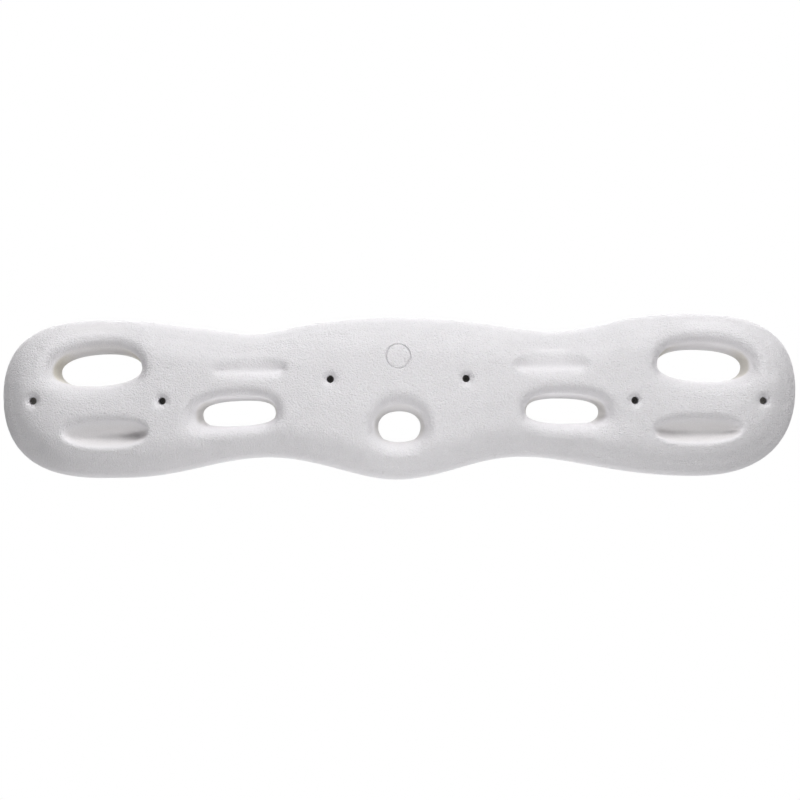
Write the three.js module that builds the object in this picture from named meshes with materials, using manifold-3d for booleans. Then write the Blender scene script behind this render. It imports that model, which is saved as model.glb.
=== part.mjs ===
// Hangboard for finger training: one cast board with nine finger pockets, held to a wall by six screws.
// Millimetres. X runs along the board, Z is up, and the climber stands at -Y. The flat back lies in the
// plane Y = 0, and the origin is the middle of the back. A depth is a distance from the back towards -Y.

import * as THREE from 'three';
import { mergeVertices } from 'three/addons/utils/BufferGeometryUtils.js';
import Module from 'manifold-3d';

const wasm = await Module();
wasm.setup();

// Board
const boardLength = 715;
const boardHeight = 147;
const boardThickness = 50;
const edgeLand = 6;
const edgeRoll = 34;
const endFallShare = 0.12;
const brinkFallShare = 0.05;
const halfLength = boardLength / 2;
const halfHeight = boardHeight / 2;

// Pockets that go right through: their sizes are the clear ones that the front view shows, the drafts
// widen the walls from the back to the throat, and the rolls widen the throat to the skin
const widePocketWidth = 77;
const widePocketHeight = 27.6;
const middlePocketWidth = 68.5;
const middlePocketHeight = 21.6;
const centrePocketWidth = 37.5;
const centrePocketHeight = 26.2;
const wideCeilingDraft = 7;
const middleCeilingDraft = 5;
const centreCeilingDraft = 7;
const sideDraft = 3.5;
const wideCeilingRoll = 17;
const middleCeilingRoll = 10.5;
const centreCeilingRoll = 13.5;
const floorRoll = 13;
const outerSideRoll = 12;
const innerSideRoll = 10;
const floorIncut = 3;
const throatDepthShare = 0.7;
const rollCutShare = 0.03;

// Blind pockets: the rim is the outline on the skin
const wideEdgeWidth = 82;
const wideEdgeHeight = 32.5;
const wideEdgeDepth = 11.5;
const middleEdgeWidth = 71.5;
const middleEdgeHeight = 24;
const middleEdgeDepth = 5.5;

// Screws, with the washers that are cast into the board under their heads
const screwLength = 60;
const shankDiameter = 4;
const tipLength = 7;
const headDiameter = 6;
const headHeight = 4;
const headChamfer = 0.5;
const driveDiameter = 4;
const driveDepth = 2.4;
const driveWaistShare = 0.7;
const seatDepth = 30;
const washerDiameter = 12;
const washerThickness = 1.5;
const clearance = 0.3;
const funnelDiameter = 16;
const funnelDepth = 7;
const overrun = 4;

// Fineness of the surfaces
const skinStep = 8;
const netBow = 12;
const outlinePoints = 168;
const pocketPoints = 40;
const edgePoints = 36;
const holeSides = 16;
const driveLobes = 6;
const fullTurn = 2 * Math.PI;

// Knots of the outline, clockwise from the left end, as shares of half the length and half the height.
// The handles run level, or upright at the two ends, as shares of the step to the knot on that side.
const outlineShares = [
  { along: -0.996, up: 0.012, arrive: 1.08, leave: 1.05, upright: true },
  { along: -0.701, up: 0.956, arrive: 0.37, leave: 0.28 },
  { along: -0.371, up: 0.784, arrive: 0.07, leave: 0.22 },
  { along: 0.007, up: 0.992, arrive: 0.66, leave: 0.48 },
  { along: 0.388, up: 0.818, arrive: 0.23, leave: 0.29 },
  { along: 0.697, up: 1.038, arrive: 0.41, leave: 0.40 },
  { along: 1.004, up: 0.096, arrive: 1.04, leave: 0.45, upright: true },
  { along: 0.751, up: -0.961, arrive: 0.81, leave: 0.47 },
  { along: 0.315, up: -0.724, arrive: 0.28, leave: 0.39 },
  { along: -0.009, up: -1.008, arrive: 0.38, leave: 0.27 },
  { along: -0.322, up: -0.733, arrive: 0.37, leave: 0.36 },
  { along: -0.703, up: -0.986, arrive: 0.44, leave: 0.29 },
];

// Through pockets from left to right. Places are shares of half the length and half the height, the
// tilt is in degrees, wide and high are shares of the pocket's size, and the fullness is 2 for an ellipse
// and more for squarer ends.
const widePocket = {
  width: widePocketWidth,
  height: widePocketHeight,
  ceilingDraft: wideCeilingDraft,
  ceilingRoll: wideCeilingRoll,
};
const middlePocket = {
  width: middlePocketWidth,
  height: middlePocketHeight,
  ceilingDraft: middleCeilingDraft,
  ceilingRoll: middleCeilingRoll,
};
const centrePocket = {
  width: centrePocketWidth,
  height: centrePocketHeight,
  ceilingDraft: centreCeilingDraft,
  ceilingRoll: centreCeilingRoll,
};
const throughShares = [
  { size: widePocket, along: -0.744, up: 0.336, wide: 1, high: 1, tilt: 3.1, fullness: 2.2, outer: -1 },
  { size: middlePocket, along: -0.397, up: -0.192, wide: 1, high: 1, tilt: 2.6, fullness: 2.6, outer: -1 },
  { size: centrePocket, along: 0.004, up: -0.354, wide: 1, high: 1, tilt: 0, fullness: 2.2, outer: 0 },
  { size: middlePocket, along: 0.412, up: -0.162, wide: 1, high: 1, tilt: -1, fullness: 2.5, outer: 1 },
  { size: widePocket, along: 0.757, up: 0.392, wide: 1.036, high: 1, tilt: -1.8, fullness: 2.3, outer: 1 },
];

// Blind pockets: how far the sides, the top and the bottom of each ring from the rim inwards have come in,
// as shares of the width and the height, and how deep that ring has sunk, as a share of the depth
const steepScoopShares = [
  { side: 0, top: 0, bottom: 0, sunk: 0 },
  { side: 0.02, top: 0.07, bottom: 0.04, sunk: 0.05 },
  { side: 0.035, top: 0.16, bottom: 0.09, sunk: 0.19 },
  { side: 0.055, top: 0.29, bottom: 0.15, sunk: 0.42 },
  { side: 0.08, top: 0.42, bottom: 0.21, sunk: 0.66 },
  { side: 0.115, top: 0.54, bottom: 0.27, sunk: 0.88 },
  { side: 0.17, top: 0.61, bottom: 0.31, sunk: 1 },
];
const mildScoopShares = [
  { side: 0, top: 0, bottom: 0, sunk: 0 },
  { side: 0.02, top: 0.06, bottom: 0.05, sunk: 0.07 },
  { side: 0.035, top: 0.15, bottom: 0.12, sunk: 0.24 },
  { side: 0.05, top: 0.26, bottom: 0.19, sunk: 0.46 },
  { side: 0.075, top: 0.38, bottom: 0.26, sunk: 0.70 },
  { side: 0.11, top: 0.48, bottom: 0.33, sunk: 0.91 },
  { side: 0.18, top: 0.55, bottom: 0.39, sunk: 1 },
];

// Blind pockets from left to right. The lean is the extra depth at the right end, as a share of the depth.
const wideEdge = {
  width: wideEdgeWidth,
  height: wideEdgeHeight,
  depth: wideEdgeDepth,
  scoop: steepScoopShares,
};
const middleEdge = {
  width: middleEdgeWidth,
  height: middleEdgeHeight,
  depth: middleEdgeDepth,
  scoop: mildScoopShares,
};
const blindShares = [
  { size: wideEdge, along: -0.7256, up: -0.404, wide: 0.996, high: 1, tilt: 0.8, fullness: 2.3, lean: 0.4 },
  { size: middleEdge, along: -0.365, up: 0.354, wide: 0.99, high: 0.96, tilt: 1.2, fullness: 2.3, lean: 0.22 },
  { size: middleEdge, along: 0.379, up: 0.405, wide: 1.01, high: 1.05, tilt: 0, fullness: 2.3, lean: -0.04 },
  { size: wideEdge, along: 0.7435, up: -0.364, wide: 1.02, high: 0.94, tilt: 0.8, fullness: 2.3, lean: -0.1 },
];

// Screw holes from left to right
const screwShares = [
  { along: -0.905, up: -0.036 },
  { along: -0.583, up: -0.037 },
  { along: -0.167, up: 0.226 },
  { along: 0.169, up: 0.234 },
  { along: 0.587, up: -0.029 },
  { along: 0.907, up: -0.033 },
];

// Rings of a roll from the throat out to the skin, as shares of the roll's width
const rollShares = [0, 0.05, 0.15, 0.34, 0.63, 1];

// Rings across the outer roll, from the outline inwards, as shares of its width
const brinkShares = [0, 0.034, 0.134, 0.293];

// Most of the wall up to the next outline that the rings of a roll may take
const rollLimitShare = 0.8;
const brinkLimitShare = 0.6;

// Funnel of a screw hole from the skin inwards: how much wider than the bore it still is, as a share of
// the whole widening, and how deep that is, as a share of the funnel's depth
const funnelShares = [
  { widened: 1, sunk: 0 },
  { widened: 0.68, sunk: 0.14 },
  { widened: 0.34, sunk: 0.4 },
  { widened: 0.1, sunk: 0.72 },
  { widened: 0, sunk: 1 },
];

// Rise of a quarter ellipse: upright at 0, level from 1 on
function rollRise(share) {
  const rest = 1 - Math.min(Math.max(share, 0), 1);
  return Math.sqrt(1 - rest * rest);
}

// The same without its steepest part, so that it meets the wall of a pocket at that wall's slope
function lipRise(share) {
  const cutRise = rollRise(rollCutShare);
  return (rollRise(rollCutShare + (1 - rollCutShare) * share) - cutRise) / (1 - cutRise);
}

function outlineRing() {
  const knots = outlineShares.map((knot) => ({
    ...knot,
    place: new THREE.Vector2(knot.along * halfLength, knot.up * halfHeight),
  }));
  const shape = new THREE.Shape();
  shape.moveTo(knots[0].place.x, knots[0].place.y);
  knots.forEach((knot, index) => {
    const next = knots[(index + 1) % knots.length];
    const step = next.place.clone().sub(knot.place);
    const first = knot.place.clone();
    const second = next.place.clone();
    if (knot.upright) first.y += knot.leave * step.y;
    else first.x += knot.leave * step.x;
    if (next.upright) second.y -= next.arrive * step.y;
    else second.x -= next.arrive * step.x;
    shape.bezierCurveTo(first.x, first.y, second.x, second.y, next.place.x, next.place.y);
  });
  return shape.getSpacedPoints(outlinePoints).slice(0, outlinePoints).reverse();
}

// A ring moved sideways into the shape that it goes round, by a distance for each of its points
function insetRing(ring, distances) {
  return ring.map((point, index) => {
    const before = ring[(index + ring.length - 1) % ring.length];
    const after = ring[(index + 1) % ring.length];
    const along = after.clone().sub(before).normalize();
    const inwards = new THREE.Vector2(-along.y, along.x);
    return point.clone().addScaledVector(inwards, distances[index]);
  });
}

function distanceToRing(point, ring) {
  const nearest = new THREE.Vector3();
  const probe = new THREE.Vector3(point.x, point.y, 0);
  const side = new THREE.Line3();
  return ring.reduce((least, corner, index) => {
    const next = ring[(index + 1) % ring.length];
    side.start.set(corner.x, corner.y, 0);
    side.end.set(next.x, next.y, 0);
    side.closestPointToPoint(probe, true, nearest);
    return Math.min(least, nearest.distanceTo(probe));
  }, Infinity);
}

function isInsideRing(point, ring) {
  return ring.reduce((inside, corner, index) => {
    const next = ring[(index + 1) % ring.length];
    const spans = (corner.y > point.y) !== (next.y > point.y);
    if (!spans) return inside;
    const share = (point.y - corner.y) / (next.y - corner.y);
    return point.x < corner.x + share * (next.x - corner.x) ? !inside : inside;
  }, false);
}

// Depth of the crowned, rolled front without its pockets
function skinDepth(point, edgeDistance) {
  const along = point.x / halfLength;
  const up = point.y / halfHeight;
  const crown = 1 - endFallShare * along ** 2 - brinkFallShare * up ** 2;
  return edgeLand + (boardThickness * crown - edgeLand) * rollRise(edgeDistance / edgeRoll);
}

// An oval with its own reach to each of the four sides, turned by a tilt, counterclockwise
function ovalRing(oval, count) {
  const centre = new THREE.Vector2();
  return Array.from({ length: count }, (_, index) => {
    const angle = fullTurn * index / count;
    const cosine = Math.cos(angle);
    const sine = Math.sin(angle);
    const across = Math.sign(cosine) * Math.abs(cosine) ** (2 / oval.fullness);
    const upward = Math.sign(sine) * Math.abs(sine) ** (2 / oval.fullness);
    const reachAcross = cosine > 0 ? oval.right : oval.left;
    const reachUpward = sine > 0 ? oval.top : oval.bottom;
    const point = new THREE.Vector2(across * reachAcross, upward * reachUpward);
    point.rotateAround(centre, THREE.MathUtils.degToRad(oval.tilt));
    return point.add(oval.place);
  });
}

// How far a through pocket's wall on one side, 1 for the right and -1 for the left, spreads outside the
// clear width. The wall on the inner side spreads within it, because the front view doesn't show it.
function sideSpread(pocket, side) {
  return pocket.outer === -side ? 0 : sideDraft;
}

// A through pocket's throat, widened by a share of the rolls round it
function throughRing(pocket, share) {
  const rightRoll = pocket.outer > 0 ? outerSideRoll : innerSideRoll;
  const leftRoll = pocket.outer < 0 ? outerSideRoll : innerSideRoll;
  return ovalRing({
    place: pocket.place,
    tilt: pocket.tilt,
    fullness: pocket.fullness,
    right: pocket.width / 2 + sideSpread(pocket, 1) + share * rightRoll,
    left: pocket.width / 2 + sideSpread(pocket, -1) + share * leftRoll,
    top: pocket.height / 2 + pocket.size.ceilingDraft + share * pocket.size.ceilingRoll,
    bottom: pocket.height / 2 + share * floorRoll,
  }, pocketPoints);
}

// How much of the full rolls the walls round a pocket leave room for
function rollFitShare(pocket, others) {
  const throat = throughRing(pocket, 0);
  const rim = throughRing(pocket, 1);
  return throat.reduce((least, point, index) => {
    const wall = Math.min(...others.map((ring) => distanceToRing(point, ring)));
    return Math.min(least, rollLimitShare * wall / point.distanceTo(rim[index]));
  }, 1);
}

// Rings of a through pocket: index 0 is the throat and the last lies on the open skin
function throughRings(pocket, others) {
  const fitShare = rollFitShare(pocket, others);
  return rollShares.map((share) => throughRing(pocket, share * fitShare));
}

// The pocket's outline on the back of the board, where the floor has dropped
function backRing(pocket) {
  return ovalRing({
    place: pocket.place,
    tilt: pocket.tilt,
    fullness: pocket.fullness,
    right: pocket.width / 2 + sideSpread(pocket, 1) - sideDraft,
    left: pocket.width / 2 + sideSpread(pocket, -1) - sideDraft,
    top: pocket.height / 2,
    bottom: pocket.height / 2 + floorIncut,
  }, pocketPoints);
}

function blindRings(pocket) {
  return pocket.size.scoop.map((share) => {
    const top = pocket.height * (1 / 2 - share.top);
    const bottom = pocket.height * (1 / 2 - share.bottom);
    const middle = new THREE.Vector2(0, (top - bottom) / 2);
    return ovalRing({
      place: pocket.place.clone().add(middle),
      tilt: pocket.tilt,
      fullness: pocket.fullness,
      right: pocket.width * (1 / 2 - share.side),
      left: pocket.width * (1 / 2 - share.side),
      top: (top + bottom) / 2,
      bottom: (top + bottom) / 2,
    }, edgePoints);
  });
}

// How much deeper a blind pocket is at this point than in its middle
function leanRise(pocket, point) {
  return 1 + pocket.lean * (point.x - pocket.place.x) / (pocket.width / 2);
}

// Points of an even triangular net that lie inside a ring and clear of it and of the holes in it. The rows
// and columns bow a little, so that no three points share a line.
function netPoints(ring, holes) {
  const rowStep = skinStep * Math.sin(fullTurn / 6);
  const margin = skinStep * Math.cos(fullTurn / 8);
  const rows = Math.ceil(boardHeight / rowStep);
  const columns = Math.ceil(boardLength / skinStep);
  const found = [];
  for (let row = -rows; row <= rows; row += 1) {
    for (let column = -columns; column <= columns; column += 1) {
      const shift = row % 2 === 0 ? 0 : skinStep / 2;
      const point = new THREE.Vector2(column * skinStep + shift, row * rowStep);
      const bow = new THREE.Vector2((point.y / halfHeight) ** 2, (point.x / halfLength) ** 2);
      point.addScaledVector(bow, netBow);
      const isOpen = isInsideRing(point, ring) && !holes.some((hole) => isInsideRing(point, hole));
      if (isOpen && [ring, ...holes].every((other) => distanceToRing(point, other) > margin)) found.push(point);
    }
  }
  return found;
}

function angleAt(apex, from, to) {
  const first = from.clone().sub(apex);
  const second = to.clone().sub(apex);
  return Math.abs(Math.atan2(first.cross(second), first.dot(second)));
}

// Turns the shared side of two faces wherever that makes both of them rounder
function evenFaces(faces, points) {
  const tolerance = 1e-6;
  const even = faces.map((face) => [...face]);
  let hasTurned = true;
  while (hasTurned) {
    hasTurned = false;
    const sides = new Map();
    even.forEach((face, index) => face.forEach((corner, side) => {
      sides.set(`${corner}:${face[(side + 1) % 3]}`, { index, apex: face[(side + 2) % 3] });
    }));
    const touched = new Set();
    for (let index = 0; index < even.length; index += 1) {
      for (let side = 0; side < 3 && !touched.has(index); side += 1) {
        const from = even[index][side];
        const to = even[index][(side + 1) % 3];
        const apex = even[index][(side + 2) % 3];
        const twin = sides.get(`${to}:${from}`);
        if (!twin || touched.has(twin.index)) continue;
        const near = angleAt(points[apex], points[from], points[to]);
        const far = angleAt(points[twin.apex], points[from], points[to]);
        if (near + far < Math.PI + tolerance) continue;
        even[index] = [apex, from, twin.apex];
        even[twin.index] = [twin.apex, to, apex];
        touched.add(index).add(twin.index);
        hasTurned = true;
      }
    }
  }
  return even;
}

// Collects rings of points and the faces between them
class Surface {
  constructor() {
    this.positions = [];
    this.faces = [];
  }

  addPoint(point, depth) {
    this.positions.push(point.x, -depth, point.y);
    return this.positions.length / 3 - 1;
  }

  addRing(ring, depthOf) {
    return ring.map((point) => this.addPoint(point, depthOf(point)));
  }

  // Faces between two rings of as many points, seen from outside with the first ring round the second
  addBand(outer, inner) {
    outer.forEach((corner, index) => {
      const next = (index + 1) % outer.length;
      this.faces.push([corner, outer[next], inner[next]], [corner, inner[next], inner[index]]);
    });
  }

  addBands(rings) {
    rings.slice(1).forEach((ring, index) => this.addBand(rings[index], ring));
  }

  // Closes a flat ring with strips that join its upper half to its lower half
  addStrip(ring) {
    const half = ring.length / 2;
    for (let index = 0; index < half; index += 1) {
      const upper = ring[index];
      const nextUpper = ring[index + 1];
      const lower = ring[(ring.length - index) % ring.length];
      const nextLower = ring[ring.length - index - 1];
      if (upper !== lower) this.faces.push([upper, nextUpper, lower]);
      if (nextUpper !== nextLower) this.faces.push([nextUpper, nextLower, lower]);
    }
  }

  // Faces between a ring, the holes in it and the loose points, given flat and by their numbers here
  addPatch(ring, holes, loose, numbers, facesBack = false) {
    const rims = [...holes, ...loose.map((point) => [point])];
    const points = [ring, ...rims].flat();
    const faces = evenFaces(THREE.ShapeUtils.triangulateShape(ring, rims), points);
    faces.forEach((face) => {
      const turned = facesBack ? [...face].reverse() : face;
      this.faces.push(turned.map((corner) => numbers[corner]));
    });
  }

  geometry() {
    const geometry = new THREE.BufferGeometry();
    geometry.setAttribute('position', new THREE.Float32BufferAttribute(this.positions, 3));
    geometry.setIndex(this.faces.flat());
    return geometry;
  }
}

function solidOf(geometry) {
  const bare = geometry.clone();
  bare.deleteAttribute('normal');
  bare.deleteAttribute('uv');
  const merged = mergeVertices(bare);
  const index = merged.index.array;
  const triangles = [];
  for (let corner = 0; corner < index.length; corner += 3) {
    const [a, b, c] = index.slice(corner, corner + 3);
    if (a !== b && b !== c && c !== a) triangles.push(a, b, c);
  }
  return new wasm.Manifold(new wasm.Mesh({
    numProp: 3,
    vertProperties: new Float32Array(merged.getAttribute('position').array),
    triVerts: new Uint32Array(triangles),
  }));
}

function geometryOf(solid) {
  const mesh = solid.getMesh();
  const geometry = new THREE.BufferGeometry();
  geometry.setAttribute('position', new THREE.Float32BufferAttribute(mesh.vertProperties, 3));
  geometry.setIndex([...mesh.triVerts]);
  geometry.computeVertexNormals();
  return geometry;
}

function placed(spot) {
  return new THREE.Vector2(spot.along * halfLength, spot.up * halfHeight);
}

function fitted(pocket) {
  return {
    ...pocket,
    place: placed(pocket),
    width: pocket.size.width * pocket.wide,
    height: pocket.size.height * pocket.high,
  };
}

// A solid of revolution round a screw's axis, from pairs of diameter and depth
function turned(profile) {
  const points = profile.map(([diameter, depth]) => new THREE.Vector2(diameter / 2, -depth));
  return new THREE.LatheGeometry(points, holeSides);
}

// Shape of everything that is left out of the resin round one screw
function screwWell(skin) {
  const shankHole = shankDiameter + 2 * clearance;
  const bore = headDiameter + 2 * clearance;
  const washerFloor = seatDepth - washerThickness - clearance;
  const washerRoof = seatDepth + clearance;
  const washerHole = washerDiameter + 2 * clearance;
  return turned([
    [0, skin + overrun],
    [funnelDiameter + overrun, skin + overrun],
    ...funnelShares.map(({ widened, sunk }) => [
      bore + widened * (funnelDiameter - bore),
      skin - sunk * funnelDepth,
    ]),
    [bore, washerRoof],
    [washerHole, washerRoof],
    [washerHole, washerFloor],
    [shankHole, washerFloor],
    [shankHole, -overrun],
    [0, -overrun],
  ]);
}

function boardGeometry() {
  const surface = new Surface();
  const outline = outlineRing();
  const depthOf = (point) => skinDepth(point, distanceToRing(point, outline));

  const throughs = throughShares.map(fitted);
  const blinds = blindShares.map(fitted);
  const throats = throughs.map((pocket) => throughRing(pocket, 0));
  const scoops = blinds.map(blindRings);

  const backHoles = [];
  const rims = [];
  throughs.forEach((pocket, index) => {
    const others = throats.filter((throat) => throat !== throats[index]);
    const rings = throughRings(pocket, [outline, ...others, ...scoops.map((scoop) => scoop[0])]);
    const numbers = rings.map((ring, step) => {
      const rise = throatDepthShare + (1 - throatDepthShare) * lipRise(rollShares[step]);
      return surface.addRing(ring, (point) => depthOf(point) * rise);
    });
    const far = backRing(pocket);
    const farNumbers = surface.addRing(far, () => 0);
    surface.addBands([...numbers.toReversed(), farNumbers]);
    backHoles.push({ ring: far, numbers: farNumbers });
    rims.push({ ring: rings.at(-1), numbers: numbers.at(-1) });
  });
  blinds.forEach((pocket, index) => {
    const rings = scoops[index];
    const numbers = rings.map((ring, step) => {
      const sunk = pocket.size.scoop[step].sunk * pocket.size.depth;
      return surface.addRing(ring, (point) => depthOf(point) - sunk * leanRise(pocket, point));
    });
    surface.addBands(numbers);
    surface.addStrip(numbers.at(-1));
    rims.push({ ring: rings[0], numbers: numbers[0] });
  });

  const back = surface.addRing(outline, () => 0);
  const walls = outline.map((point) => Math.min(...rims.map((rim) => distanceToRing(point, rim.ring))));
  const brinks = brinkShares.map((share) => {
    const limitShare = brinkLimitShare * share / brinkShares.at(-1);
    const distances = walls.map((wall) => Math.min(share * edgeRoll, limitShare * wall));
    const ring = insetRing(outline, distances);
    const numbers = ring.map((point, index) => surface.addPoint(point, skinDepth(point, distances[index])));
    return { ring, numbers };
  });
  surface.addBands([back, ...brinks.map((brink) => brink.numbers)]);

  const inner = brinks.at(-1);
  const holes = rims.map((rim) => rim.ring);
  const loose = netPoints(inner.ring, holes);
  const looseNumbers = surface.addRing(loose, depthOf);
  const frontNumbers = [inner.numbers, ...rims.map((rim) => rim.numbers), looseNumbers].flat();
  surface.addPatch(inner.ring, holes, loose, frontNumbers);
  const backNumbers = [back, ...backHoles.map((hole) => hole.numbers)].flat();
  surface.addPatch(outline, backHoles.map((hole) => hole.ring), [], backNumbers, true);

  return screwShares.map(placed).reduce((solid, place) => {
    const well = screwWell(depthOf(place));
    well.translate(place.x, 0, place.y);
    return solid.subtract(solidOf(well));
  }, solidOf(surface.geometry()));
}

function washerGeometry() {
  const bore = shankDiameter + 2 * clearance;
  const floor = seatDepth - washerThickness;
  return turned([
    [bore, floor],
    [washerDiameter, floor],
    [washerDiameter, seatDepth],
    [bore, seatDepth],
    [bore, floor],
  ].reverse());
}

// The star that the driver bit fits, as a prism that runs out of the top of the head
function driveGeometry(top) {
  const star = new THREE.Shape(Array.from({ length: 2 * driveLobes }, (_, index) => {
    const angle = fullTurn * index / (2 * driveLobes);
    const radius = driveDiameter / 2 * (index % 2 === 0 ? 1 : driveWaistShare);
    return new THREE.Vector2(Math.cos(angle) * radius, Math.sin(angle) * radius);
  }));
  const prism = new THREE.ExtrudeGeometry(star, { depth: driveDepth + overrun, bevelEnabled: false });
  prism.rotateX(Math.PI / 2);
  prism.translate(0, driveDepth - top, 0);
  return prism;
}

function screwGeometry() {
  const seat = seatDepth + clearance;
  const top = seat + headHeight;
  const point = seat - screwLength;
  const blank = turned([
    [0, top],
    [headDiameter - 2 * headChamfer, top],
    [headDiameter, top - headChamfer],
    [headDiameter, seat],
    [shankDiameter, seat],
    [shankDiameter, point + tipLength],
    [0, point],
  ]);
  return geometryOf(solidOf(blank).subtract(solidOf(driveGeometry(top))));
}

const resin = new THREE.MeshStandardMaterial({ color: '#dbd9da', roughness: 0.62, metalness: 0 });
const steel = new THREE.MeshStandardMaterial({ color: '#8f9092', roughness: 0.35, metalness: 1 });
const blackSteel = new THREE.MeshStandardMaterial({ color: '#2a2825', roughness: 0.45, metalness: 0.8 });

const hangboard = new THREE.Group();
const board = new THREE.Mesh(geometryOf(boardGeometry()), resin);
board.name = 'board';
hangboard.add(board);

screwShares.map(placed).forEach((place, index) => {
  const washer = new THREE.Mesh(washerGeometry(), steel.clone());
  washer.name = `seat_washer_${index + 1}`;
  const screw = new THREE.Mesh(screwGeometry(), blackSteel.clone());
  screw.name = `mounting_screw_${index + 1}`;
  const fixing = new THREE.Group();
  fixing.position.set(place.x, 0, place.y);
  fixing.add(washer, screw);
  hangboard.add(fixing);
});

export default hangboard;
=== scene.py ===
"""Looks of a cast hangboard with its screws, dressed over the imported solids.

Lengths are in metres, or in millimetres where their line says mm.
"""

import logging
import math
from dataclasses import dataclass, field
from enum import Enum

import bpy
import numpy as np
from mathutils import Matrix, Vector
from mathutils.kdtree import KDTree


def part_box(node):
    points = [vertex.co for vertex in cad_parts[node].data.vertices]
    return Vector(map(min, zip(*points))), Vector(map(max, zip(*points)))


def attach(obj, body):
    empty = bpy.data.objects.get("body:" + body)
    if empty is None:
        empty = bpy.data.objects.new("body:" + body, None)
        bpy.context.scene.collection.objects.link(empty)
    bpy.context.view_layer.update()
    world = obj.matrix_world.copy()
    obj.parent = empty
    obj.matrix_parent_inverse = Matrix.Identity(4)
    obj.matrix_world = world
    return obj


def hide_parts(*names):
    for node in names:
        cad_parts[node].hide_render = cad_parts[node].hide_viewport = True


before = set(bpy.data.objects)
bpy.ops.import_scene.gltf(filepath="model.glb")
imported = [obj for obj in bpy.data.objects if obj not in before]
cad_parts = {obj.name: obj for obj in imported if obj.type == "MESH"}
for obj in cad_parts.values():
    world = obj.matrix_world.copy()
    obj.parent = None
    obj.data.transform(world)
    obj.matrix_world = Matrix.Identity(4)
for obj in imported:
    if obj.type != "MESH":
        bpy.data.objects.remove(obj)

log = logging.getLogger("hangboard")

MM = 0.001
BODY = "root"
BOARD_NODE = "board"

# Attributes of the board that its material reads: painted shade on the pockets' walls, how smoothed
# the skin is, and painted shade in the pockets' depths.
SHADE_ON_WALLS = "hollow"
SMOOTHED = "smoothed"
SHADE_IN_DEPTHS = "shaded_depths"

# Rays that look for the skin start on this plane in front of the board.
IN_FRONT = -0.2
BACKWARD = Vector((0, 1, 0))

# How far below the crown the marks of open and of blind pockets, painted shade among them, set in
# and are full, in mm.
OPEN_DEPTHS = {SHADE_ON_WALLS: (12, 24), SMOOTHED: (4, 20), SHADE_IN_DEPTHS: (8, 22)}
BLIND_DEPTHS = {SHADE_ON_WALLS: (3, 9), SMOOTHED: (2, 7), SHADE_IN_DEPTHS: (5, 11)}

# A vertex nearer to an axis or a plane than this counts as lying on it.
ON_PLACE = 0.01 * MM

# The part of a noise pattern's range that holds most of its values.
NOISE_BAND = (0.3, 0.7)

WHITE = (1.0, 1.0, 1.0)

Point = tuple[float, float, float]
Colour = tuple[float, float, float]
Span = tuple[float, float]
Profile = list[Span]
Piece = bpy.types.Object
Socket = bpy.types.NodeSocket
Input = float | Colour | Socket


class Blend(Enum):
    """How a tool changes the solid piece that it meets."""

    JOIN = "UNION"
    CUT = "DIFFERENCE"


class Plating(Enum):
    """Surface of a steel part."""

    ZINC = "zinc"
    PHOSPHATE = "phosphate"


def deselect_all() -> None:
    """Deselects every object."""
    bpy.ops.object.select_all(action="DESELECT")


def make_active(piece: Piece) -> None:
    """Selects one object alone and makes it the active one.

    Args:
        piece: The object that the next operators act on.
    """
    deselect_all()
    piece.select_set(True)
    bpy.context.view_layer.objects.active = piece


def settle(piece: Piece) -> None:
    """Moves an object's place, turn and scale into its mesh.

    Args:
        piece: The object that ends up unturned at the origin.
    """
    make_active(piece)
    bpy.ops.object.transform_apply(location=True, rotation=True, scale=True)


def remove(piece: Piece) -> None:
    """Deletes an object and its mesh.

    Args:
        piece: The object to delete.
    """
    mesh = piece.data
    bpy.data.objects.remove(piece)
    bpy.data.meshes.remove(mesh)


def apply_modifier(piece: Piece, kind: str, **settings: object) -> None:
    """Adds a modifier to an object, sets it and applies it.

    Args:
        piece: The object whose mesh changes.
        kind: Blender's name for the kind of modifier.
        **settings: The modifier's own settings by name.
    """
    make_active(piece)
    modifier = piece.modifiers.new(kind.lower(), kind)
    for name, value in settings.items():
        setattr(modifier, name, value)
    bpy.ops.object.modifier_apply(modifier=modifier.name)


def combine(piece: Piece, tool: Piece, blend: Blend) -> None:
    """Joins a solid tool to a solid piece, or cuts it out, and deletes the tool.

    Args:
        piece: The object that stays.
        tool: The object that is used up.
        blend: Whether the tool is joined or cut out.
    """
    apply_modifier(piece, "BOOLEAN", object=tool, operation=blend.value, solver="MANIFOLD")
    remove(tool)


def coordinates(piece: Piece) -> np.ndarray:
    """Reads the places of a piece's vertices.

    Args:
        piece: The object to read.

    Returns:
        One row of x, y and z for each vertex.
    """
    flat = np.empty(3 * len(piece.data.vertices), np.float32)
    piece.data.vertices.foreach_get("co", flat)
    return flat.reshape(-1, 3).astype(float)


def place_vertices(piece: Piece, places: np.ndarray) -> None:
    """Gives a piece's vertices new places.

    Args:
        piece: The object to change.
        places: One row of x, y and z for each vertex.
    """
    piece.data.vertices.foreach_set("co", places.astype(np.float32).ravel())
    piece.data.update()


def shade(piece: Piece, degrees: float) -> None:
    """Shades a piece smooth, apart from edges that are sharper than an angle.

    Args:
        piece: The object to shade.
        degrees: The angle from which an edge stays sharp.
    """
    make_active(piece)
    bpy.ops.object.shade_smooth_by_angle(angle=math.radians(degrees))


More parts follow.
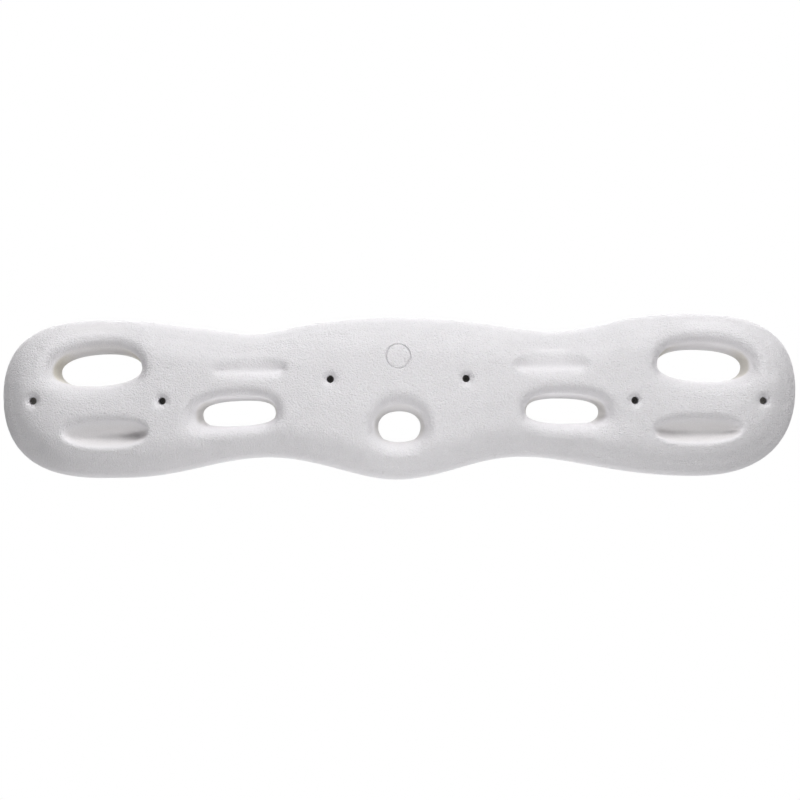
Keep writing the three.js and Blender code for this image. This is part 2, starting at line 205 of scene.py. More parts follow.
def turned(name: str, profile: Profile, sides: int) -> Piece:
    """Turns a closed body round an axis that points forward, along -Y.

    The first pair is a circle primitive, and each further pair is extruded from it and resized.

    Args:
        name: The new object's name.
        profile: Pairs of radius and depth, where a depth is the distance from the back.
        sides: The number of sides round the axis.

    Returns:
        The closed body, on the axis through the origin.
    """
    deselect_all()
    (radius, depth), *rest = profile
    bpy.ops.mesh.primitive_circle_add(vertices=sides, radius=radius, fill_type="NGON")
    piece = bpy.context.object
    piece.name = name
    bpy.ops.object.mode_set(mode="EDIT")
    bpy.ops.mesh.select_all(action="SELECT")
    bpy.ops.transform.translate(value=(0, 0, depth))
    for next_radius, next_depth in rest:
        bpy.ops.mesh.extrude_region_move(
            TRANSFORM_OT_translate={"value": (0, 0, next_depth - depth)}
        )
        share = next_radius / radius
        bpy.ops.transform.resize(value=(share, share, 1), center_override=(0, 0, next_depth))
        radius, depth = next_radius, next_depth
    bpy.ops.mesh.select_all(action="SELECT")
    bpy.ops.mesh.normals_make_consistent(inside=False)
    bpy.ops.object.mode_set(mode="OBJECT")
    piece.rotation_euler = (math.pi / 2, 0, 0)
    settle(piece)
    return piece


def copied(piece: Piece, name: str, place: Point) -> Piece:
    """Copies a piece with its own mesh to another place.

    Args:
        piece: The object to copy.
        name: The copy's name.
        place: How far the copy moves.

    Returns:
        The copy, settled at its place.
    """
    copy = bpy.data.objects.new(name, piece.data.copy())
    bpy.context.scene.collection.objects.link(copy)
    copy.location = place
    settle(copy)
    return copy


def joined(pieces: list[Piece]) -> Piece:
    """Joins pieces that don't touch each other into one object.

    Args:
        pieces: The objects to join, of which the first stays.

    Returns:
        The object that holds all their meshes.
    """
    deselect_all()
    for piece in pieces:
        piece.select_set(True)
    bpy.context.view_layer.objects.active = pieces[0]
    bpy.ops.object.join()
    return pieces[0]


def smooth_step(values: np.ndarray, low: float, high: float) -> np.ndarray:
    """Runs from 0 at one value to 1 at another with level ends.

    Args:
        values: The values to map.
        low: The value that gives 0.
        high: The value that gives 1.

    Returns:
        The mapped values.
    """
    share = np.clip((values - low) / (high - low), 0, 1)
    return share * share * (3 - 2 * share)


def skin_at(piece: Piece, along: float, up: float) -> float:
    """Finds the skin that faces forward at a spot.

    Args:
        piece: The object to look at, which has skin there.
        along: The spot's place along the board.
        up: The spot's place upwards.

    Returns:
        The skin's place along Y.
    """
    return piece.ray_cast(Vector((along, IN_FRONT, up)), BACKWARD)[1].y


class Recipe:
    """A material's node tree while it is being put together."""

    def __init__(self, name: str) -> None:
        """Starts from a bare principled shader.

        Args:
            name: The material's name.
        """
        self.material = bpy.data.materials.new(name)
        self.material.use_nodes = True
        self.tree = self.material.node_tree
        self.shader = self.tree.nodes["Principled BSDF"]
        self.place = self.add("ShaderNodeTexCoord").outputs["Object"]

    def add(
        self, kind: str, inputs: dict[str | int, Input] | None = None, **settings: object
    ) -> bpy.types.Node:
        """Adds a node.

        Args:
            kind: The node's type.
            inputs: Values or sockets for its inputs, by name or number.
            **settings: The node's own settings by name.

        Returns:
            The new node.
        """
        node = self.tree.nodes.new(kind)
        for name, value in settings.items():
            setattr(node, name, value)
        for key, value in (inputs or {}).items():
            self.feed(node.inputs[key], value)
        return node

    def feed(self, socket: Socket, value: Input) -> None:
        """Sets a socket's value or links another socket to it.

        Args:
            socket: The input to feed.
            value: A number, a colour or an output.
        """
        if isinstance(value, Socket):
            self.tree.links.new(value, socket)
        elif isinstance(value, tuple) and len(socket.default_value) == 4:
            socket.default_value = (*value, 1)
        else:
            socket.default_value = value

    def noise(
        self, size: float, detail: float = 2, roughness: float = 0.5, **inputs: Input
    ) -> Socket:
        """Adds a noise pattern on the piece's own coordinates.

        Args:
            size: The width of one blotch.
            detail: How many finer layers it has.
            roughness: How strong the finer layers are.
            **inputs: Further inputs by name.

        Returns:
            The pattern's value, from 0 to 1.
        """
        values = {"Vector": self.place, "Scale": 1 / size, "Detail": detail, "Roughness": roughness}
        return self.add("ShaderNodeTexNoise", values | inputs).outputs["Fac"]

    def math(self, operation: str, first: Input, second: Input) -> Socket:
        """Adds a math node.

        Args:
            operation: Blender's name for the operation.
            first: Its first value.
            second: Its second value.

        Returns:
            The result.
        """
        return self.add("ShaderNodeMath", {0: first, 1: second}, operation=operation).outputs[0]

    def ramp(
        self, value: Input, low: float, high: float, start: float = 0.0, end: float = 1.0
    ) -> Socket:
        """Maps a value smoothly from one range to another.

        Args:
            value: The value to map.
            low: The value that gives the start.
            high: The value that gives the end.
            start: The result at and below the low value.
            end: The result at and above the high value.

        Returns:
            The mapped value.
        """
        inputs = {"Value": value, "From Min": low, "From Max": high, "To Min": start, "To Max": end}
        return self.add("ShaderNodeMapRange", inputs, interpolation_type="SMOOTHSTEP").outputs[0]

    def mix(self, share: Input, first: Input, second: Input) -> Socket:
        """Mixes two colours.

        Args:
            share: How much of the second colour shows.
            first: The first colour.
            second: The second colour.

        Returns:
            The mixed colour.
        """
        node = self.add("ShaderNodeMix", data_type="RGBA")
        for name, value in (("Factor_Float", share), ("A_Color", first), ("B_Color", second)):
            self.feed(next(i for i in node.inputs if i.identifier == name), value)
        return next(o for o in node.outputs if o.identifier == "Result_Color")

    def bump(
        self, height: Input, distance: float, strength: Input = 1.0, under: Input | None = None
    ) -> Socket:
        """Adds a layer of relief.

        Args:
            height: The pattern of heights, from 0 to 1.
            distance: The height of 1.
            strength: How much of the relief shows.
            under: The normal of the layer that lies under this one.

        Returns:
            The new normal.
        """
        inputs = {"Height": height, "Distance": distance, "Strength": strength}
        if under is not None:
            inputs["Normal"] = under
        return self.add("ShaderNodeBump", inputs).outputs[0]


@dataclass(frozen=True)
class ResinFinish:
    """Off-white cast polyurethane with a fine grain and painted shade, darker and creamier, in its
    hollows.

    Attributes:
        skin: Colour of the open skin.
        hollow: Colour of the painted shade, darker and creamier, on the end walls of the open
            pockets and all over the blind ones.
        depth_shade_colour: Colour of the painted shade in the pockets' depths.
        poured: Colour of the sanded back.
        back_rim: Places along Y between which the back's looks set in.
        blotch_size: Width of the faint blotches.
        blotch_tone: How much paler or darker they are.
        speckle_size: Width of the speckles.
        speckle_tone: How much paler or darker they are.
        wave_size: Width of the hand-shaped unevenness.
        wave_height: Its height.
        grain_size: Width of one bump of the grain.
        grain_height: Height of the grain.
        grain_length: How much longer than high its bumps are.
        grain_roughness: How strong the grain's finer layer is.
        grain_twist: How bent its bumps are.
        fine_size: Width of the finest bumps.
        fine_height: Height of the finest bumps.
        kept_share: Share of the grain that is left deep in the pockets.
        kept_from: How smoothed such places are.
        back_share: Share left on the back.
        edge_share: Share left where the skin rolls to the wall.
        edge: Places along Y between which the grain fades to that.
        smear_size: Width of the smears in the gloss.
        roughness: Roughness of the open skin.
        roughness_swing: How much rougher or glossier the smears are.
        level: Specular level.
    """

    skin: Colour = (0.735, 0.722, 0.742)
    hollow: Colour = (0.53, 0.5, 0.435)
    depth_shade_colour: Colour = (0.53, 0.515, 0.51)
    poured: Colour = (0.66, 0.63, 0.57)
    back_rim: Span = (-0.3 * MM, -0.05 * MM)
    blotch_size: float = 26 * MM
    blotch_tone: float = 0.006
    speckle_size: float = 1 * MM
    speckle_tone: float = 0.035
    wave_size: float = 30 * MM
    wave_height: float = 0.8 * MM
    grain_size: float = 1.15 * MM
    grain_height: float = 1.4 * MM
    grain_length: float = 1.3
    grain_roughness: float = 0.55
    grain_twist: float = 0.35
    fine_size: float = 0.6 * MM
    fine_height: float = 0.3 * MM
    kept_share: float = 0.3
    kept_from: float = 0.8
    back_share: float = 0.4
    edge_share: float = 0.35
    edge: Span = (-28 * MM, -10 * MM)
    smear_size: float = 18 * MM
    roughness: float = 0.62
    roughness_swing: float = 0.05
    level: float = 0.32

    def material(self) -> bpy.types.Material:
        """Builds the material.

        Returns:
            A material that reads where its painted shade lies and where the piece is smoothed.
        """
        recipe = Recipe("cast_resin")
        hollow, smoothed, shaded_depths = (
            recipe.add("ShaderNodeAttribute", attribute_name=name).outputs["Fac"]
            for name in (SHADE_ON_WALLS, SMOOTHED, SHADE_IN_DEPTHS)
        )
        depth = recipe.add("ShaderNodeSeparateXYZ", {0: recipe.place}).outputs["Y"]
        back = recipe.ramp(depth, *self.back_rim)

        blotches = recipe.noise(self.blotch_size, detail=3)
        speckles = recipe.noise(self.speckle_size)
        tone = recipe.ramp(blotches, *NOISE_BAND, 1 - self.blotch_tone, 1 + self.blotch_tone)
        flecks = recipe.ramp(speckles, *NOISE_BAND, -self.speckle_tone, self.speckle_tone)
        tone = recipe.math("ADD", tone, flecks)
        # Painted shade in the pockets' depths.
        colour = recipe.mix(shaded_depths, self.skin, self.depth_shade_colour)
        # Painted shade on the pockets' end walls, darker and creamier.
        colour = recipe.mix(hollow, colour, self.hollow)
        colour = recipe.mix(back, colour, self.poured)
        toned = recipe.add("ShaderNodeVectorMath", {0: colour, "Scale": tone}, operation="SCALE")
        recipe.feed(recipe.shader.inputs["Base Color"], toned.outputs[0])

        kept = recipe.ramp(smoothed, 0.0, self.kept_from, 1.0, self.kept_share)
        kept = recipe.math("MULTIPLY", kept, recipe.ramp(back, 0.0, 1.0, 1.0, self.back_share))
        rolled = recipe.ramp(depth, *self.edge, 1.0, self.edge_share)
        kept = recipe.math("MULTIPLY", kept, rolled)
        stretched = recipe.add(
            "ShaderNodeVectorMath",
            {0: recipe.place, 1: (1 / self.grain_length, 1.0, 1.0)},
            operation="MULTIPLY",
        )
        grain = recipe.noise(
            self.grain_size,
            detail=1,
            roughness=self.grain_roughness,
            Distortion=self.grain_twist,
            Vector=stretched.outputs[0],
        )
        relief = recipe.bump(recipe.noise(self.wave_size, detail=1), self.wave_height)
        relief = recipe.bump(grain, self.grain_height, kept, relief)
        relief = recipe.bump(recipe.noise(self.fine_size), self.fine_height, kept, relief)
        recipe.feed(recipe.shader.inputs["Normal"], relief)

        smears = recipe.noise(self.smear_size, detail=3)
        low, high = self.roughness - self.roughness_swing, self.roughness + self.roughness_swing
        roughness = recipe.ramp(smears, *NOISE_BAND, low, high)
        recipe.feed(recipe.shader.inputs["Roughness"], roughness)
        recipe.feed(recipe.shader.inputs["Specular IOR Level"], self.level)
        return recipe.material


@dataclass(frozen=True)
class SteelFinish:
    """Plated steel.

    Attributes:
        plating: The kind of plating.
        colour: Its colour.
        dull: Its colour where it has gone dull.
        roughness: Its roughness.
        metallic: How metallic it looks.
        wear: Change of its roughness where it is bright and where it is dull.
        crystal_size: Width of the plating's crystals.
        crystal_band: Distances from a crystal's middle between which it goes dull.
        haze_size: Width of the patches of haze.
        haze_band: The part of the noise's range in which it sets in.
        tooth_size: Width of the fine tooth's bumps.
        tooth_height: Height of the fine tooth.
    """

    plating: Plating
    colour: Colour
    dull: Colour
    roughness: float
    metallic: float
    wear: Span = (-0.08, 0.1)
    crystal_size: float = 0.8 * MM
    crystal_band: Span = (0.1, 0.8)
    haze_size: float = 3 * MM
    haze_band: Span = (0.35, 0.65)
    tooth_size: float = 0.25 * MM
    tooth_height: float = 0.01 * MM

    def material(self) -> bpy.types.Material:
        """Builds the material.

        Returns:
            A metal with crystals of plating and a fine tooth.
        """
        recipe = Recipe(f"{self.plating.value}_steel")
        crystals = recipe.add(
            "ShaderNodeTexVoronoi", {"Vector": recipe.place, "Scale": 1 / self.crystal_size}
        )
        spots = recipe.ramp(crystals.outputs["Distance"], *self.crystal_band)
        patches = recipe.ramp(recipe.noise(self.haze_size), *self.haze_band)
        haze = recipe.math("MULTIPLY", spots, patches)
        recipe.feed(recipe.shader.inputs["Base Color"], recipe.mix(haze, self.colour, self.dull))
        low, high = (self.roughness + change for change in self.wear)
        recipe.feed(recipe.shader.inputs["Roughness"], recipe.ramp(haze, 0, 1, low, high))
        recipe.feed(recipe.shader.inputs["Metallic"], self.metallic)
        tooth = recipe.bump(recipe.noise(self.tooth_size), self.tooth_height)
        recipe.feed(recipe.shader.inputs["Normal"], tooth)
        return recipe.material


ZINC = SteelFinish(Plating.ZINC, (0.55, 0.56, 0.58), (0.42, 0.42, 0.43), 0.36, 1.0)
PHOSPHATE = SteelFinish(
    Plating.PHOSPHATE, (0.12, 0.115, 0.108), (0.16, 0.152, 0.14), 0.5, 0.85
)


@dataclass(frozen=True)
class Oval:
    """A level oval on the board's front, in mm.

    Attributes:
        along: Its middle along the board.
        up: Its middle above the board's middle.
        half_width: Half its width.
        half_height: Half its height.
    """

    along: float
    up: float
    half_width: float
    half_height: float

    def reach(self, places: np.ndarray) -> np.ndarray:
        """Measures how far out from the middle points lie.

        Args:
            places: Rows of x, y and z in mm.

        Returns:
            Their distances, where 1 is the rim.
        """
        across = (places[:, 0] - self.along) / self.half_width
        upward = (places[:, 2] - self.up) / self.half_height
        return np.hypot(across, upward)


@dataclass(frozen=True)
class Hollow(Oval):
    """Place, reach at the skin and marks of one finger pocket.

    Attributes:
        depth_shade: How much painted shade darkens its depths.
        wall_shade: How much painted shade, darker and creamier, lies on its end walls, or all over
            it if it is blind.
        is_blind: Whether it ends inside the board.
        rim: Reaches between which its marks fade out.
        end_walls: Shares of its half width between which an open pocket's end walls set in.
    """

    depth_shade: float
    wall_shade: float
    is_blind: bool = False
    rim: Span = (0.95, 1.2)
    end_walls: Span = (0.35, 0.75)

    def marks(self, places: np.ndarray, sunk: np.ndarray) -> dict[str, np.ndarray]:
        """Says how strongly the pocket paints shade on points and how much it smooths them.

        Args:
            places: Rows of x, y and z in mm.
            sunk: How far each point lies below the crown in mm.

        Returns:
            The strength of each mark from 0 to 1, by its attribute's name.
        """
        depths = BLIND_DEPTHS if self.is_blind else OPEN_DEPTHS
        near = 1 - smooth_step(self.reach(places), *self.rim)
        # Painted shade on an open pocket's end walls, or all over a blind pocket.
        wall_shading = self.wall_shade * near
        if not self.is_blind:
            across = np.abs(places[:, 0] - self.along) / self.half_width
            wall_shading = wall_shading * smooth_step(across, *self.end_walls)
        # Painted shade on the walls and in the depths, and the smoothing, each set in by depth
        # below the crown.
        full = {SHADE_ON_WALLS: wall_shading, SMOOTHED: near, SHADE_IN_DEPTHS: self.depth_shade * near}
        return {name: full[name] * smooth_step(sunk, *depths[name]) for name in full}


@dataclass(frozen=True)
class Dent(Oval):
    """A shallow hollow that a hand has worked into the skin.

    Attributes:
        depth: Its depth in its middle in mm.
    """

    depth: float

    def push(self, places: np.ndarray) -> np.ndarray:
        """Says how far it pushes points back.

        Args:
            places: Rows of x, y and z in mm.

        Returns:
            From its depth in its middle to 0 on its rim and outside.
        """
        return self.depth * np.cos(np.minimum(self.reach(places), 1) * math.pi / 2) ** 2


@dataclass
class Casting:
    """The cast board: its body, its screw wells and the bare round place in its middle.

    Attributes:
        weld: Distance within which the solid's vertices become one.
        voxel: Fineness of the even mesh.
        skirt: How far the body runs on behind the back before it is trimmed.
        trim_block: Width, depth and height of the block that trims the back.
        smoothing: Strength of a smoothing pass.
        skin_passes: Smoothing passes on the open skin.
        hollow_passes: Passes everywhere.
        fade_steps: Steps in which the open skin's passes fade out.
        pocket_rim: Reaches between which a pocket gives way to the open skin.
        sharp_angle: Degrees from which an edge stays sharp.
        seat_depth: Depth of the washers' upper faces from the back.
        washer_gap: Clearance round the washers.
        washer_thickness: Thickness of the washers.
        washer_radius: Radius of the washers' pockets.
        bore_radius: Radius of the bores.
        shank_radius: Radius of the shanks' holes.
        well_span: Where a well's cutter starts and ends, from the back.
        well_sides: Its sides.
        plug_margins: How much wider a plug is than a washer's pocket and than a bore.
        plug_cover: How far its wide part stands above the seat.
        plug_sink: How far below the skin it ends.
        plug_sides: Its sides.
        funnel_radius: Radius of a circle that clears a screw's funnel.
        funnel_spots: Spots on that circle where the skin is measured.
        ring_place: Middle of the bare round place, along and up.
        ring_radius: Radius of its groove.
        ring_sides: Sides of the groove, round the ring and across.
        groove_radius: Half the width of the groove.
        hollows: The finger pockets.
        crown: How far the skin's middle stands out from the back, in mm.
        crown_falls: Shares by which that falls to the ends and to the long edges.
        half_spans: Half the board's length and half its height in mm.
        under_roll: How far the skin is rolled back above the lower edge, in mm.
        under_roll_peak: Distance from the edge where that is most, in mm.
        under_roll_end: Distance from the edge where it ends, in mm.
        end_blend: Heights between which it fades out round the ends, in mm.
        outline_step: Width of the strips in which the outline is looked for, in mm.
        dents: The hollows worked into the skin.
        worked: Depths between which the roll and the dents set in, in mm.
        finish: The resin's looks.
    """

    weld: float = 0.001 * MM
    voxel: float = 1.7 * MM
    skirt: float = 5 * MM
    trim_block: Point = (1.2, 0.1, 0.5)
    smoothing: float = 0.5
    skin_passes: int = 8
    hollow_passes: int = 2
    fade_steps: int = 10
    pocket_rim: Span = (1.0, 1.25)
    sharp_angle: float = 38
    seat_depth: float = 30 * MM
    washer_gap: float = 0.3 * MM
    washer_thickness: float = 1.5 * MM
    washer_radius: float = 6.3 * MM
    bore_radius: float = 3.3 * MM
    shank_radius: float = 2.3 * MM
    well_span: Span = (-2 * MM, 70 * MM)
    well_sides: int = 48
    plug_margins: Span = (0.5 * MM, 0.4 * MM)
    plug_cover: float = 1 * MM
    plug_sink: float = 6.2 * MM
    plug_sides: int = 24
    funnel_radius: float = 9 * MM
    funnel_spots: int = 8
    ring_place: Span = (0.3 * MM, 36.7 * MM)
    ring_radius: float = 10.7 * MM
    ring_sides: tuple[int, int] = (96, 16)
    groove_radius: float = 1.15 * MM
    # Each pocket: along, up, half width, half height, painted shade in its depths, painted shade on
    # its walls, and whether it is blind.
    hollows: tuple[Hollow, ...] = (
        Hollow(-268.8, 30.2, 51.3, 32, 0.6, 1.0),
        Hollow(-143.0, -12.9, 47, 25, 0.1, 0.4),
        Hollow(1.4, -22.5, 30, 30, 0.5, 0.2),
        Hollow(148.5, -11.0, 47, 25, 0.1, 0.4),
        Hollow(273.3, 34.3, 53, 32, 0.2, 0.8),
        Hollow(-259.4, -29.7, 40.8, 16.3, 0.12, 0.12, True),
        Hollow(-130.5, 26.0, 35.4, 11.5, 0.2, 0.03, True),
        Hollow(135.5, 29.8, 36.1, 12.6, 0.3, 0.03, True),
        Hollow(265.8, -26.8, 41.8, 15.3, 0.1, 0.16, True),
    )
    crown: float = 50
    crown_falls: Span = (0.12, 0.05)
    half_spans: Span = (357.5, 73.5)
    under_roll: float = 4.2
    under_roll_peak: float = 16
    under_roll_end: float = 66
    end_blend: Span = (-20, 20)
    outline_step: float = 2
    dents: tuple[Dent, ...] = (
        Dent(-346, -74, 64, 74, 9.0),
        Dent(-266, 27, 66, 50, 4.0),
        Dent(-260, 45, 54, 27, 2.8),
        Dent(-293, 17, 28, 26, 1.6),
        Dent(-172, -22, 27, 22, 4.5),
        Dent(1.4, -35, 40, 31, 5.5),
        Dent(178, -20, 27, 22, 4.5),
        Dent(272, 31, 66, 48, 3.4),
        Dent(266, 50, 54, 27, 2.4),
        Dent(299, 19, 28, 26, 1.8),
        Dent(348, -72, 64, 72, 7.5),
    )
    worked: Span = (8, 30)
    finish: ResinFinish = field(default_factory=ResinFinish)

    def build(self, spots: list[Point]) -> Piece:
        """Builds the board and gives it its material.

        Args:
            spots: Where the screws' axes meet the back.

        Returns:
            The finished piece.
        """
        piece = self.plain_copy(spots)
        self.even_out(piece)
        self.trim(piece, spots)
        self.cut_ring(piece)
        self.mark_hollows(piece)
        shade(piece, self.sharp_angle)
        piece.data.materials.clear()
        piece.data.materials.append(self.finish.material())
        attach(piece, BODY)
        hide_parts(BOARD_NODE)
        return piece

    def plain_copy(self, spots: list[Point]) -> Piece:
        """Copies the solid, fills its wells and lengthens it behind the back.

        Args:
            spots: Where the screws' axes meet the back.

        Returns:
            The copy.
        """
        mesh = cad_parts[BOARD_NODE].data.copy()
        piece = bpy.data.objects.new("cast_board", mesh)
        bpy.context.scene.collection.objects.link(piece)
        make_active(piece)
        bpy.ops.object.mode_set(mode="EDIT")
        bpy.ops.mesh.select_all(action="SELECT")
        bpy.ops.mesh.remove_doubles(threshold=self.weld)
        bpy.ops.object.mode_set(mode="OBJECT")
        for spot in spots:
            combine(piece, self.plug(piece, spot), Blend.JOIN)
        places = coordinates(piece)
        places[places[:, 1] > -ON_PLACE, 1] += self.skirt
        place_vertices(piece, places)
        return piece

    def plug(self, piece: Piece, spot: Point) -> Piece:
        """Makes a body that fills one screw well up to the foot of its funnel.

        Args:
            piece: The board.
            spot: Where the screw's axis meets the back.

        Returns:
            The body, settled at its place.
        """
        depths = []
        for step in range(self.funnel_spots):
            angle = math.tau * step / self.funnel_spots
            along = spot[0] + self.funnel_radius * math.cos(angle)
            up = spot[2] + self.funnel_radius * math.sin(angle)
            depths.append(-skin_at(piece, along, up))
        top = float(np.mean(depths)) - self.plug_sink
        wide = self.washer_radius + self.plug_margins[0]
        slim = self.bore_radius + self.plug_margins[1]
        shoulder = self.seat_depth + self.plug_cover
        profile = [(wide, 0), (wide, shoulder), (slim, shoulder), (slim, top)]
        plug = turned("plug", profile, self.plug_sides)
        plug.location = spot
        settle(plug)
        return plug

    def even_out(self, piece: Piece) -> None:
        """Gives the body an even fine mesh, works its skin and smooths the facets out of it.

        Args:
            piece: The board.
        """
        apply_modifier(piece, "REMESH", mode="VOXEL", voxel_size=self.voxel, use_smooth_shade=True)
        self.work_skin(piece)
        apply_modifier(piece, "SMOOTH", factor=self.smoothing, iterations=self.hollow_passes)
        group = piece.vertex_groups.new(name="open_skin")
        places = coordinates(piece) / MM
        reach = np.min([pocket.reach(places) for pocket in self.hollows], axis=0)
        steps = np.round(smooth_step(reach, *self.pocket_rim) * self.fade_steps).astype(int)
        for step in range(1, self.fade_steps + 1):
            members = np.flatnonzero(steps == step).tolist()
            group.add(members, step / self.fade_steps, "REPLACE")
        apply_modifier(
            piece,
            "SMOOTH",
            factor=self.smoothing,
            iterations=self.skin_passes,
            vertex_group=group.name,
        )
        piece.vertex_groups.clear()

    def work_skin(self, piece: Piece) -> None:
        """Rolls the skin back above the lower edge and works the dents into it.

        Args:
            piece: The board.
        """
        places = coordinates(piece)
        scaled = places / MM
        distance, under = self.to_outline(scaled)
        rolled = smooth_step(distance, 0, self.under_roll_peak)
        rolled *= 1 - smooth_step(distance, self.under_roll_peak, self.under_roll_end)
        pushed = self.under_roll * rolled * under
        for dent in self.dents:
            pushed += dent.push(scaled)
        places[:, 1] += pushed * smooth_step(-scaled[:, 1], *self.worked) * MM
        place_vertices(piece, places)

    def to_outline(self, places: np.ndarray) -> tuple[np.ndarray, np.ndarray]:
        """Measures how far points lie inside the outline, and whether below or above.

        The points that come first and last in upright and in level strips make the outline.

        Args:
            places: Rows of x, y and z in mm.

        Returns:
            Their distances in mm, and 1 where the lower outline is the nearest or 0 where
            the upper one is, with a smooth change round the ends.
        """
        flat = places[:, [0, 2]]
        rim = []
        for axis, other in ((0, 1), (1, 0)):
            strips = np.round(flat[:, axis] / self.outline_step).astype(int)
            order = np.lexsort((flat[:, other], strips))
            firsts = np.flatnonzero(np.diff(strips[order], prepend=strips.min() - 1))
            lasts = np.append(firsts[1:], len(order)) - 1
            rim.append(flat[order[firsts]])
            rim.append(flat[order[lasts]])
        outline = np.concatenate(rim)
        tree = KDTree(len(outline))
        for number, (along, up) in enumerate(outline):
            tree.insert((along, up, 0), number)
        tree.balance()
        found = [tree.find((along, up, 0)) for along, up in flat]
        distance = np.array([hit[2] for hit in found])
        height = np.array([hit[0].y for hit in found])
        return distance, 1 - smooth_step(height, *self.end_blend)

    def trim(self, piece: Piece, spots: list[Point]) -> None:
        """Cuts the back flat and the screw wells clean.

        Args:
            piece: The board.
            spots: Where the screws' axes meet the back.
        """
        deselect_all()
        middle = (0, self.trim_block[1] / 2, 0)
        bpy.ops.mesh.primitive_cube_add(size=1, location=middle, scale=self.trim_block)
        block = bpy.context.object
        settle(block)
        combine(piece, block, Blend.CUT)
        bore, shank, wide = self.bore_radius, self.shank_radius, self.washer_radius
        roof = self.seat_depth + self.washer_gap
        floor = self.seat_depth - self.washer_thickness - self.washer_gap
        low, high = self.well_span
        profile = [
            (shank, low),
            (shank, floor),
            (wide, floor),
            (wide, roof),
            (bore, roof),
            (bore, high),
        ]
        tool = turned("well", profile, self.well_sides)
        wells = [copied(tool, f"well_{number}", spot) for number, spot in enumerate(spots)]
        remove(tool)
        combine(piece, joined(wells), Blend.CUT)

    def cut_ring(self, piece: Piece) -> None:
        """Presses a plain round groove where boards of this kind carry a badge.

        Args:
            piece: The board.
        """
        (along, up), radius = self.ring_place, self.ring_radius
        left, right = (skin_at(piece, along + side * radius, up) for side in (-1, 1))
        below, above = (skin_at(piece, along, up + side * radius) for side in (-1, 1))
        lean_x = math.atan2(above - below, 2 * radius)
        lean_z = math.atan2(right - left, 2 * radius)
        deselect_all()
        bpy.ops.mesh.primitive_torus_add(
            major_radius=radius,
            minor_radius=self.groove_radius,
            major_segments=self.ring_sides[0],
            minor_segments=self.ring_sides[1],
            location=(along, float(np.mean([left, right, below, above])), up),
            rotation=(math.pi / 2 - lean_x, 0, lean_z),
        )
        ring = bpy.context.object
        settle(ring)
        combine(piece, ring, Blend.CUT)

    def mark_hollows(self, piece: Piece) -> None:
        """Stores where the pockets paint shade and where they are smoothed.

        Args:
            piece: The board.
        """
        places = coordinates(piece) / MM
        shares = (places[:, [0, 2]] / self.half_spans) ** 2
        crown = self.crown * (1 - shares @ np.array(self.crown_falls))
        sunk = crown + places[:, 1]
        marks = [pocket.marks(places, sunk) for pocket in self.hollows]
        for name in OPEN_DEPTHS:
            values = np.max([mark[name] for mark in marks], axis=0)
            attribute = piece.data.attributes.new(name, "FLOAT", "POINT")
            attribute.data.foreach_set("value", values.astype(np.float32))


